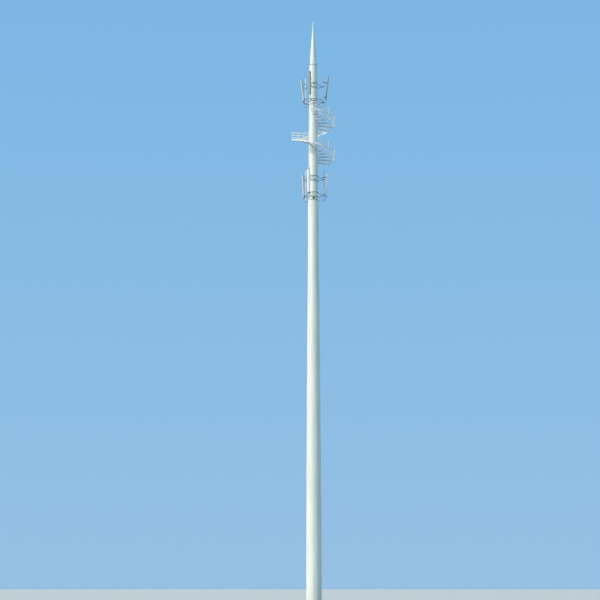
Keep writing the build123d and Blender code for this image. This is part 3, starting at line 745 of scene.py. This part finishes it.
# Spiral stair
stair = {
    "pitch": 1.795, "frontHeight": 24.72, "treads": 23, "perTurn": 16, "topAzimuth": -90,
    "treadAngle": 14, "treadLift": 0.022, "postEvery": 2,
}
treadStep = 360 / stair["perTurn"]
treadDrop = -stair["pitch"] / stair["perTurn"]
bottomAzimuth = stair["topAzimuth"] + treadStep * (stair["treads"] - 1)
stairEnds = (stair["topAzimuth"] - stair["treadAngle"] / 2, bottomAzimuth + stair["treadAngle"] / 2)


def stairHeight(azimuth):
    return stair["frontHeight"] - stair["pitch"] * (azimuth + 90) / 360


def alongStair(name, shape, radius, finish, lift=0.0, every=1, inward=0.0, replaced=()):
    count = (stair["treads"] + every - 1) // every
    azimuths = (stair["topAzimuth"], treadStep * every)
    heights = (stair["frontHeight"] + lift, treadDrop * every)
    repeatPart(name, shape, count, (radius, inward), azimuths, heights, finish, replaced)


# Open mesh treads
treadMesh = {
    "Inner Radius": 0.29, "Outer Radius": 1.0707, "Half Angle": stair["treadAngle"] / 2,
    "Diamond Length": 0.060, "Diamond Width": 0.024, "Rows": 10, "Shortest Strand": 0.05,
    "Strand Width": 0.0022, "Strand Depth": 0.0015, "Mesh Height": 0.0135,
    "Band Width": 0.003, "Band Depth": 0.015, "Finish": finishes["grating"],
}
shape = bmesh.new()
shape.from_mesh(growMesh("treadWedge", "tread", treadMesh))
alongStair("meshTreads", shape, 0.0, "grating", stair["treadLift"], replaced=["stair_treads"])

# Handrail and lower rails as smooth tubes, each with its height over the treads and its node
rail = {
    "circle": 1.065, "radius": 0.012, "points": 240, "sides": 20,
    "rows": {
        "lowRail": (0.132, "stair_midrails"), "middleRail": (0.264, "stair_midrails"),
        "handrail": (0.396, "stair_handrail"),
    },
}
for name, (lift, node) in rail["rows"].items():
    heights = [stairHeight(azimuth) + lift for azimuth in stairEnds]
    mesh = tubeMesh(
        name, (rail["circle"],) * 2, stairEnds, heights, rail["radius"], rail["points"],
        "stair", rail["sides"],
    )
    keepPiece(name, mesh, "stair", replaced=[node])

# U-bolts that hold the rails to the posts, with a domed cap on each post
post = {
    "out": 0.0243, "radius": 0.012, "rod": 0.002, "rodSides": 8, "bendSteps": 10, "legPast": 0.007,
    "nut": 0.0045, "domeTurns": (0, 25, 50, 70, 84), "domeRise": 0.5, "domeSides": 20,
}
postFace = post["out"] + post["radius"]
bend = rail["radius"] + post["rod"]
turns = [radians(90 + 180 * step / post["bendSteps"]) for step in range(post["bendSteps"] + 1)]
path = [Vector((bend * cos(turn), 0, bend * sin(turn))) for turn in turns]
legs = [Vector((postFace + post["legPast"], 0, side * bend)) for side in (1, -1)]
path = [legs[0], *path, legs[1]]
across = Vector((0, 1, 0))
rings = [
    ringRound(point, post["rod"], across.cross(alongLine(path, index)), across, post["rodSides"])
    for index, point in enumerate(path)
]
slope = atan(stair["pitch"] / (2 * pi * rail["circle"]))
shape = bmesh.new()
for lift, _ in rail["rows"].values():
    place = Matrix.Translation((0, 0, lift)) @ Matrix.Rotation(slope, 4, "X")
    skin(shape, rings, place)
    for side in (-1, 1):
        bolt(shape, place @ facing((1, 0, 0), (postFace, 0, side * bend)), post["nut"])
postTop = rail["rows"]["handrail"][0] + rail["radius"]
dome = [
    (post["radius"] * cos(radians(turn)), post["radius"] * post["domeRise"] * sin(radians(turn)))
    for turn in post["domeTurns"]
]
lathe(shape, dome, Matrix.Translation((post["out"], 0, postTop)), post["domeSides"])
alongStair("railClips", shape, rail["circle"], "bolt", every=stair["postEvery"])

# Bolts through the stringer: at each post, and at the ends of each tread
stringer = {"thick": 0.006, "bolt": 0.006, "stud": 0.003, "heights": (0.017, 0.043), "turns": (-3.5, 3.5)}
shape = bmesh.new()
for height in stringer["heights"]:
    inside = (rail["radius"] - stringer["thick"], 0, height)
    bolt(shape, facing((-1, 0, 0), inside), stringer["bolt"])
    bolt(shape, facing((1, 0, 0), (postFace, 0, height)), stringer["bolt"], stringer["stud"])
alongStair("postBolts", shape, rail["circle"], "bolt", every=stair["postEvery"])
shape = bmesh.new()
for turn in stringer["turns"]:
    height = stair["treadLift"] + treadMesh["Band Depth"] / 2
    place = roundThePole(turn, rail["circle"] + rail["radius"], height)
    bolt(shape, place @ facing((1, 0, 0)), stringer["bolt"])
alongStair("treadBolts", shape, 0.0, "bolt")
print("stair dressed")

# Pole: where it steps in and ends, and its weld beads, one down each section and some round its joints
pole = {
    "topRadius": 0.2, "stepRadius": 0.275, "bead": 0.0035, "beadPitch": 0.012, "beadSides": 6,
    "ripple": 0.22, "inset": 0.001, "seamAzimuths": (200, 325, 160, 340, 185, 350),
    "weldedTops": (1, 2, 3, 5),
}
sections = [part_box(f"shaft_{index}") for index in range(1, 7)]


def poleRadius(height):
    # outer radius of the pole: each section narrows to the foot of the next one
    radii = [(high.x - low.x) / 2 for low, high in sections] + [pole["topRadius"]]
    for (low, high), radius, after in zip(sections, radii, radii[1:]):
        if height <= high.z:
            end = pole["stepRadius"] if radius > pole["stepRadius"] > after else after
            return radius + (end - radius) * (height - low.z) / (high.z - low.z)
    return pole["topRadius"]


def weldBead(radii, azimuths, heights, length, ripples):
    points = int(length / pole["beadPitch"] * 2)
    return tubeMesh(
        "seam", radii, azimuths, heights, pole["bead"], points, "pole", pole["beadSides"],
        ripples, pole["ripple"],
    )


beads = []
for index, (low, high) in enumerate(sections):
    radii = (poleRadius(low.z + pole["inset"]), poleRadius(high.z - pole["inset"]))
    length = high.z - low.z
    ripples = 2 * pi * length / pole["beadPitch"] / 2
    beads.append(weldBead(radii, (pole["seamAzimuths"][index],) * 2, (low.z, high.z), length, ripples))
    if index + 1 in pole["weldedTops"]:
        around = 2 * pi * radii[1]
        ripples = 2 * pi * int(around / pole["beadPitch"] / 2)
        beads.append(weldBead((radii[1],) * 2, (0, 360), (high.z,) * 2, around, ripples))

# Root pads of the stair's arms
pad = {
    "low": (-0.002, -0.025, -0.086), "high": (0.005, 0.025, 0.002), "edge": 0.0015, "bolt": 0.005,
    "boltSides": (-0.018, 0.018), "boltHeights": (-0.07, -0.014),
}
shape = bmesh.new()
block(shape, pad["low"], pad["high"], pad["edge"])
for y in pad["boltSides"]:
    for z in pad["boltHeights"]:
        bolt(shape, facing((1, 0, 0), (pad["high"][0], y, z)), pad["bolt"])
topRadius, bottomRadius = (
    poleRadius(stairHeight(azimuth) + stair["treadLift"]) for azimuth in (stair["topAzimuth"], bottomAzimuth)
)
widening = (bottomRadius - topRadius) / (stair["treads"] - 1)
alongStair("armPads", shape, topRadius, "stair", stair["treadLift"], inward=widening)
keepPiece("poleWelds", joinMeshes("poleWelds", beads), "pole")
print("pole welded")

# Rings of bolts on the base flange and round the spire's foot
boltRings = {
    "anchorBolts": {
        "node": "base_flange", "count": 24, "circle": 0.505, "first": 7.5, "size": 0.024, "stud": 0.02,
    },
    "topBolts": {
        "node": "top_flange", "count": 16, "circle": 0.188, "first": 0, "size": 0.009, "stud": 0.003,
    },
}
for name, ring in boltRings.items():
    shape = bmesh.new()
    bolt(shape, Matrix(), ring["size"], ring["stud"])
    azimuths = (ring["first"], 360 / ring["count"])
    heights = (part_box(ring["node"])[1].z, 0)
    repeatPart(name, shape, ring["count"], (ring["circle"], 0), azimuths, heights, "bolt")

# Ferrule on the spire, under the lightning needle, and the point on the needle's tip
# Each row: the node whose top it stands on, its sides, and its rings' radii and heights
needle = (
    ("lightning_spire", 20, (
        (0.0132, -0.012), (0.0145, -0.008), (0.0145, 0.012), (0.011, 0.016), (0.009, 0.03), (0.0065, 0.034),
    )),
    ("lightning_needle", 16, (
        (0.0075, -0.03), (0.0085, -0.026), (0.0085, -0.016), (0.005, -0.006), (0.001, 0.0),
    )),
)
shape = bmesh.new()
for node, sides, profile in needle:
    lathe(shape, profile, Matrix.Translation((0, 0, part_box(node)[1].z)), sides)
keepPiece("needleFittings", asMesh(shape, "needleFittings"), "bolt")

# Access door: hinges down one side and a shrouded lock on the other
doorHinge = {
    "shares": (0.16, 0.5, 0.84), "outwards": 0.001, "back": 0.004, "radius": 0.009,
    "barrels": ((-0.035, -0.001), (0.001, 0.035)), "cap": ((0.005, 0.035), (0.007, 0.038), (0.003, 0.041)),
    "leafLow": (0.0, -0.012, -0.029), "leafHigh": (0.05, -0.006, 0.029), "edge": 0.0015,
    "boltSeats": ((0.034, -0.006, -0.016), (0.034, -0.006, 0.016)), "bolt": 0.005,
}
doorLock = {
    "share": 0.5, "inwards": 0.045, "proud": 0.004, "low": (-0.022, -0.006, -0.04),
    "high": (0.022, 0.02, 0.04), "edge": 0.004, "keyway": ((0.009, 0), (0.009, 0.005), (0.006, 0.008)),
    "keywayAt": (0, 0.02, 0.012),
}
doorLow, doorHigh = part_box("access_door")
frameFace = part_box("access_door_frame")[1].y
shape = bmesh.new()
for share in doorHinge["shares"]:
    height = doorLow.z + share * (doorHigh.z - doorLow.z)
    place = Matrix.Translation((doorLow.x - doorHinge["outwards"], frameFace - doorHinge["back"], height))
    for ends in doorHinge["barrels"]:
        lathe(shape, [(doorHinge["radius"], end) for end in ends], place)
    lathe(shape, doorHinge["cap"], place)
    block(shape, doorHinge["leafLow"], doorHinge["leafHigh"], doorHinge["edge"], place)
    for seat in doorHinge["boltSeats"]:
        bolt(shape, place @ facing((0, 1, 0), seat), doorHinge["bolt"])
height = doorLow.z + doorLock["share"] * (doorHigh.z - doorLow.z)
middle = (doorLow.y + doorHigh.y) / 2
place = Matrix.Translation((doorHigh.x - doorLock["inwards"], middle + doorLock["proud"], height))
block(shape, doorLock["low"], doorLock["high"], doorLock["edge"], place)
lathe(shape, doorLock["keyway"], place @ facing((0, 1, 0), doorLock["keywayAt"]))
keepPiece("doorFittings", asMesh(shape, "doorFittings"), "bolt")
print("base, top and door dressed")

# Antenna levels, each with its collars on the pole
levels = {
    "upper": ("upper_stand_off", "upper_ring_frame"),
    "lower": ("lower_stand_off_high", "lower_stand_off_low"),
}
holder = {
    "pipeCircle": 0.565, "pipeRadius": 0.019, "spread": 0.112, "collarHalf": 0.02, "lugOut": 0.0083,
    "lugAzimuths": (75, 195, 315), "hingePin": 0.0205, "slotPin": 0.044, "slotStud": 0.004, "pinBolt": 0.008,
}

# Plates that draw two halves together, drawn on the positive side, each with a bolt on its outer face
plates = {
    "collarLug": {
        "low": (-0.004, 0.002, -0.018), "high": (0.034, 0.009, 0.018), "edge": 0.0015,
        "seat": (0.018, 0.009, 0), "normal": (0, 1, 0), "bolt": 0.008, "stud": 0.004,
    },
    "pipeEar": {
        "low": (0.0015, 0.024, -0.022), "high": (0.0065, 0.045, 0.022), "edge": 0.0012,
        "seat": (0.0065, 0.0355, 0), "normal": (1, 0, 0), "bolt": 0.007, "stud": 0.003,
    },
    "clampEar": {
        "low": (-0.046, 0.0015, -0.015), "high": (-0.024, 0.0075, 0.015), "edge": 0.0012,
        "seat": (-0.036, 0.0075, 0), "normal": (0, 1, 0), "bolt": 0.006, "stud": 0.0,
    },
}


def boltedPlate(shape, place, kind, mirror):
    # mirror is 1 or -1 for each axis; only the bolt's positive end has a stud
    plate = plates[kind]
    low, high, seat, normal = (
        tuple(value * way for value, way in zip(plate[key], mirror))
        for key in ("low", "high", "seat", "normal")
    )
    block(shape, low, high, plate["edge"], place)
    bolt(shape, place @ facing(normal, seat), plate["bolt"], plate["stud"] if sum(normal) > 0 else 0.0)


def middleHeight(node):
    low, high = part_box(node)
    return (low.z + high.z) / 2


# Lugs where the collars' halves are drawn together
shape = bmesh.new()
for collars in levels.values():
    for node in collars:
        spreads = (0,) if node == "upper_ring_frame" else (-holder["spread"], holder["spread"])
        for spread in spreads:
            height = middleHeight(node) + spread
            radius = poleRadius(height - holder["collarHalf"]) + holder["lugOut"]
            for azimuth in holder["lugAzimuths"]:
                for side in (-1, 1):
                    boltedPlate(shape, roundThePole(azimuth, radius, height), "collarLug", (1, side, 1))
keepPiece("collarLugs", asMesh(shape, "collarLugs"), "zinc")

# Clamp ears and bolts on the pipes, and plugs in the pipes' ends
# The plug's rings are shares of its rim and heights
plug = {
    "proud": 0.0008, "sides": 20,
    "rings": ((1, -0.014), (1, 0), (0.9, 0.004), (0.5, 0.0065), (0.1, 0.007)),
}
earShape, plugShape = bmesh.new(), bmesh.new()
for name, joint in joints.items():
    levelName = name.split("_")[0]
    azimuth = sectorAzimuth(joint)
    for node in levels[levelName]:
        place = roundThePole(azimuth, holder["pipeCircle"], middleHeight(node))
        for side in (-1, 1):
            for face in (-1, 1):
                boltedPlate(earShape, place, "pipeEar", (face, side, 1))
    for kind in ("_hinge_clamps", "_slot_clamps"):
        place = roundThePole(azimuth, holder["pipeCircle"], middleHeight(levelName + kind))
        for side in (-1, 1):
            boltedPlate(earShape, place, "clampEar", (1, side, 1))
    pipeLow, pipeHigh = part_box(levelName + "_pipes")
    rim = holder["pipeRadius"] + plug["proud"]
    for height, way in ((pipeHigh.z, 1), (pipeLow.z, -1)):
        place = roundThePole(azimuth, holder["pipeCircle"], height) @ Matrix.Scale(way, 4, (0, 0, 1))
        lathe(plugShape, [(share * rim, rise) for share, rise in plug["rings"]], place, plug["sides"])
    x, y, hingeHeight = joint["pos_m"]
    pins = (
        (hingeHeight, holder["hingePin"], 0.0),
        (middleHeight(levelName + "_slot_clamps"), holder["slotPin"], holder["slotStud"]),
    )
    for side in (-1, 1):
        for height, out, stud in pins:
            place = Matrix.Translation((x, y, height)) @ roundThePole(azimuth)
            bolt(earShape, place @ facing((0, side, 0), (0, side * out, 0)), holder["pinBolt"], stud)
keepPiece("clampBolts", asMesh(earShape, "clampBolts"), "zinc")
keepPiece("pipePlugs", asMesh(plugShape, "pipePlugs"), "rubber")
print("antenna holders dressed")

# Panel antennas, with x out from the hinge and z up the panel
# Each ring of a cap: its height from the panel's end, how far it stands out, and its scale
antenna = {
    "back": 0.035, "depth": 0.065, "width": 0.150, "below": 0.100, "length": 1.230,
    "sideDepth": 0.028, "frontCorner": 0.022, "backCorner": 0.009, "shellGap": 0.004,
    "capRings": (
        (0, -0.003, 0.985), (0.001, -0.003, 1), (0.004, -0.003, 1), (0.004, 0.0012, 0.985),
        (0.006, 0.0012, 1), (0.024, 0.0012, 1), (0.026, 0.0012, 0.99),
    ),
    # the panels whose shells take the darker radome copy, painted shade for their turned faces
    "greyShells": ("upper_front", "upper_right"),
}
panelEnds = (-antenna["below"], antenna["length"] - antenna["below"])


def radomeOutline(grow=0.0):
    # flat back, straight sides, rounded shoulders and a crowned front, seen from above
    half = antenna["width"] / 2 + grow
    back, front = antenna["back"] - grow, antenna["back"] + antenna["depth"] + grow
    rise = front - antenna["back"] - antenna["sideDepth"]
    crownRadius = (half**2 + rise**2) / (2 * rise)
    crownCentre = front - crownRadius
    turned, corner = antenna["frontCorner"], antenna["backCorner"]
    shoulder = crownCentre + sqrt((crownRadius - turned) ** 2 - (half - turned) ** 2)
    meeting = atan2(half - turned, shoulder - crownCentre)
    # each arc's centre, radius, first and last turn, first point and steps
    arcs = (
        (crownCentre, 0, crownRadius, 0, meeting, 0, 8),
        (shoulder, half - turned, turned, meeting, pi / 2, 1, 6),
        (back + corner, half - corner, corner, pi / 2, pi, 1, 5),
    )
    points = []
    for centreX, centreY, radius, start, end, first, steps in arcs:
        for index in range(first, steps + 1):
            turn = start + (end - start) * index / steps
            points.append((centreX + radius * cos(turn), centreY + radius * sin(turn)))
    mirrored = [(x, -y) for x, y in points[1:]]
    return mirrored[::-1] + points


def outlineRing(points, height, scale=1.0):
    middle = antenna["back"] + antenna["depth"] / 2
    return [(middle + (x - middle) * scale, y * scale, height) for x, y in points]


def drawShell(shape, place):
    points = radomeOutline()
    low, high = panelEnds
    heights = (low + antenna["shellGap"], high - antenna["shellGap"])
    skin(shape, [outlineRing(points, height) for height in heights], place)


def drawCaps(shape, place):
    for end, way in zip(panelEnds, (1, -1)):
        rings = [
            outlineRing(radomeOutline(grow), end + way * rise, scale)
            for rise, grow, scale in antenna["capRings"]
        ]
        skin(shape, rings, place)


# Connectors under each antenna: rings of radius and depth, a nut, and a boot over the jumper's end
connector = {
    "sides": 20, "nutDepth": 0.009, "nutFlats": 0.0154, "nutHeight": 0.008, "bootSides": 16,
    "barrels": (
        ((0.0112, 0), (0.0112, 0.002)), ((0.007, 0.002), (0.007, 0.010)),
        ((0.007, 0.017), (0.007, 0.025), (0.0056, 0.026)),
    ),
    "boot": (
        (0.0042, -0.030), (0.0046, -0.029), (0.0050, -0.012), (0.0066, -0.008), (0.0078, -0.002),
        (0.0078, 0.006),
    ),
}


def drawConnectors(shape, place):
    x, y, _ = jumper["connector"]
    for side in (-1, 1):
        seat = place @ Matrix.Translation((x, side * y, panelEnds[0])) @ Matrix.Rotation(pi, 4, "X")
        for profile in connector["barrels"]:
            lathe(shape, profile, seat, connector["sides"])
        nut = seat @ Matrix.Translation((0, 0, connector["nutDepth"]))
        hexagon(shape, nut, connector["nutFlats"], connector["nutHeight"])


def drawBoots(shape, place):
    x, y, z = jumper["connector"]
    for side in (-1, 1):
        seat = place @ Matrix.Translation((x, side * y, z))
        lathe(shape, connector["boot"], seat, connector["bootSides"])


# Bolts that hold the bracket's two plates to the panel's back
plateBolt = {"x": 0.029, "y": 0.0215, "z": 0.029, "size": 0.005}


def drawPlateBolts(shape, place, heights):
    for height in heights:
        for y in (-plateBolt["y"], plateBolt["y"]):
            for z in (-plateBolt["z"], plateBolt["z"]):
                seat = facing((-1, 0, 0), (plateBolt["x"], y, height + z))
                bolt(shape, place @ seat, plateBolt["size"])


for name, joint in joints.items():
    label = name.replace("_tilt", "")
    levelName = label.split("_")[0]
    body, place = joint["child"], antennaPlace(joint)
    heights = (0, middleHeight(levelName + "_slot_clamps") - joint["pos_m"][2])
    # two panels get the darker radome copy, which is painted shade
    shade = "greyRadome" if label in antenna["greyShells"] else "radome"
    housing = [label + "_antenna"]
    keepPiece(label + "_radome", drawn(label, drawShell, place), shade, body, housing)
    keepPiece(label + "_caps", drawn(label, drawCaps, place), "cap", body, housing)
    fittings = drawn(label, drawConnectors, place)
    keepPiece(label + "_connectors", fittings, "nickel", body, housing)
    bolts = drawn(label, drawPlateBolts, place, heights)
    keepPiece(label + "_plateBolts", bolts, "bolt", body)
    for side, hand in ((-1, "left"), (1, "right")):
        line = jumperLines[name, side]
        tube = drawn("jumper", skin, tubeRings(line, jumper["radius"], jumper["sides"]))
        cable = keepPiece(
            f"{label}_jumper_{hand}", tube, "jacket", body, [label + "_jumpers"],
            jumper["bend"][levelName], jumper["sharpAngle"],
        )
        length = sum((after - before).length for before, after in zip(line, line[1:]))
    keepPiece(label + "_boots", drawn(label, drawBoots, place), "rubber", body)
print("antennas dressed")

# Pale studio floor
floor = {
    "radius": 900, "height": -0.002, "sides": 96, "colour": (0.60, 0.60, 0.58), "roughness": 0.9,
    "mottle": (0.4, 3.0), "shade": 0.96,
}
floorMesh = bpy.data.meshes.new("floor")
shape = bmesh.new()
rim = circle(floor["radius"], floor["height"], floor["sides"])
shape.faces.new([shape.verts.new(point) for point in rim])
shape.to_mesh(floorMesh)
shape.free()
floorMaterial, tree, shader = newFinish("floorPlaster", floor["colour"], floor["roughness"])
tone = ranged(tree, patterned(tree, *floor["mottle"]), 0, 1)
tone = blended(tree, tone, floor["colour"], tuple(floor["shade"] * part for part in floor["colour"]))
tree.links.new(tone, shader.inputs["Base Color"])
floorMesh.materials.append(floorMaterial)
addObject("floor", floorMesh)
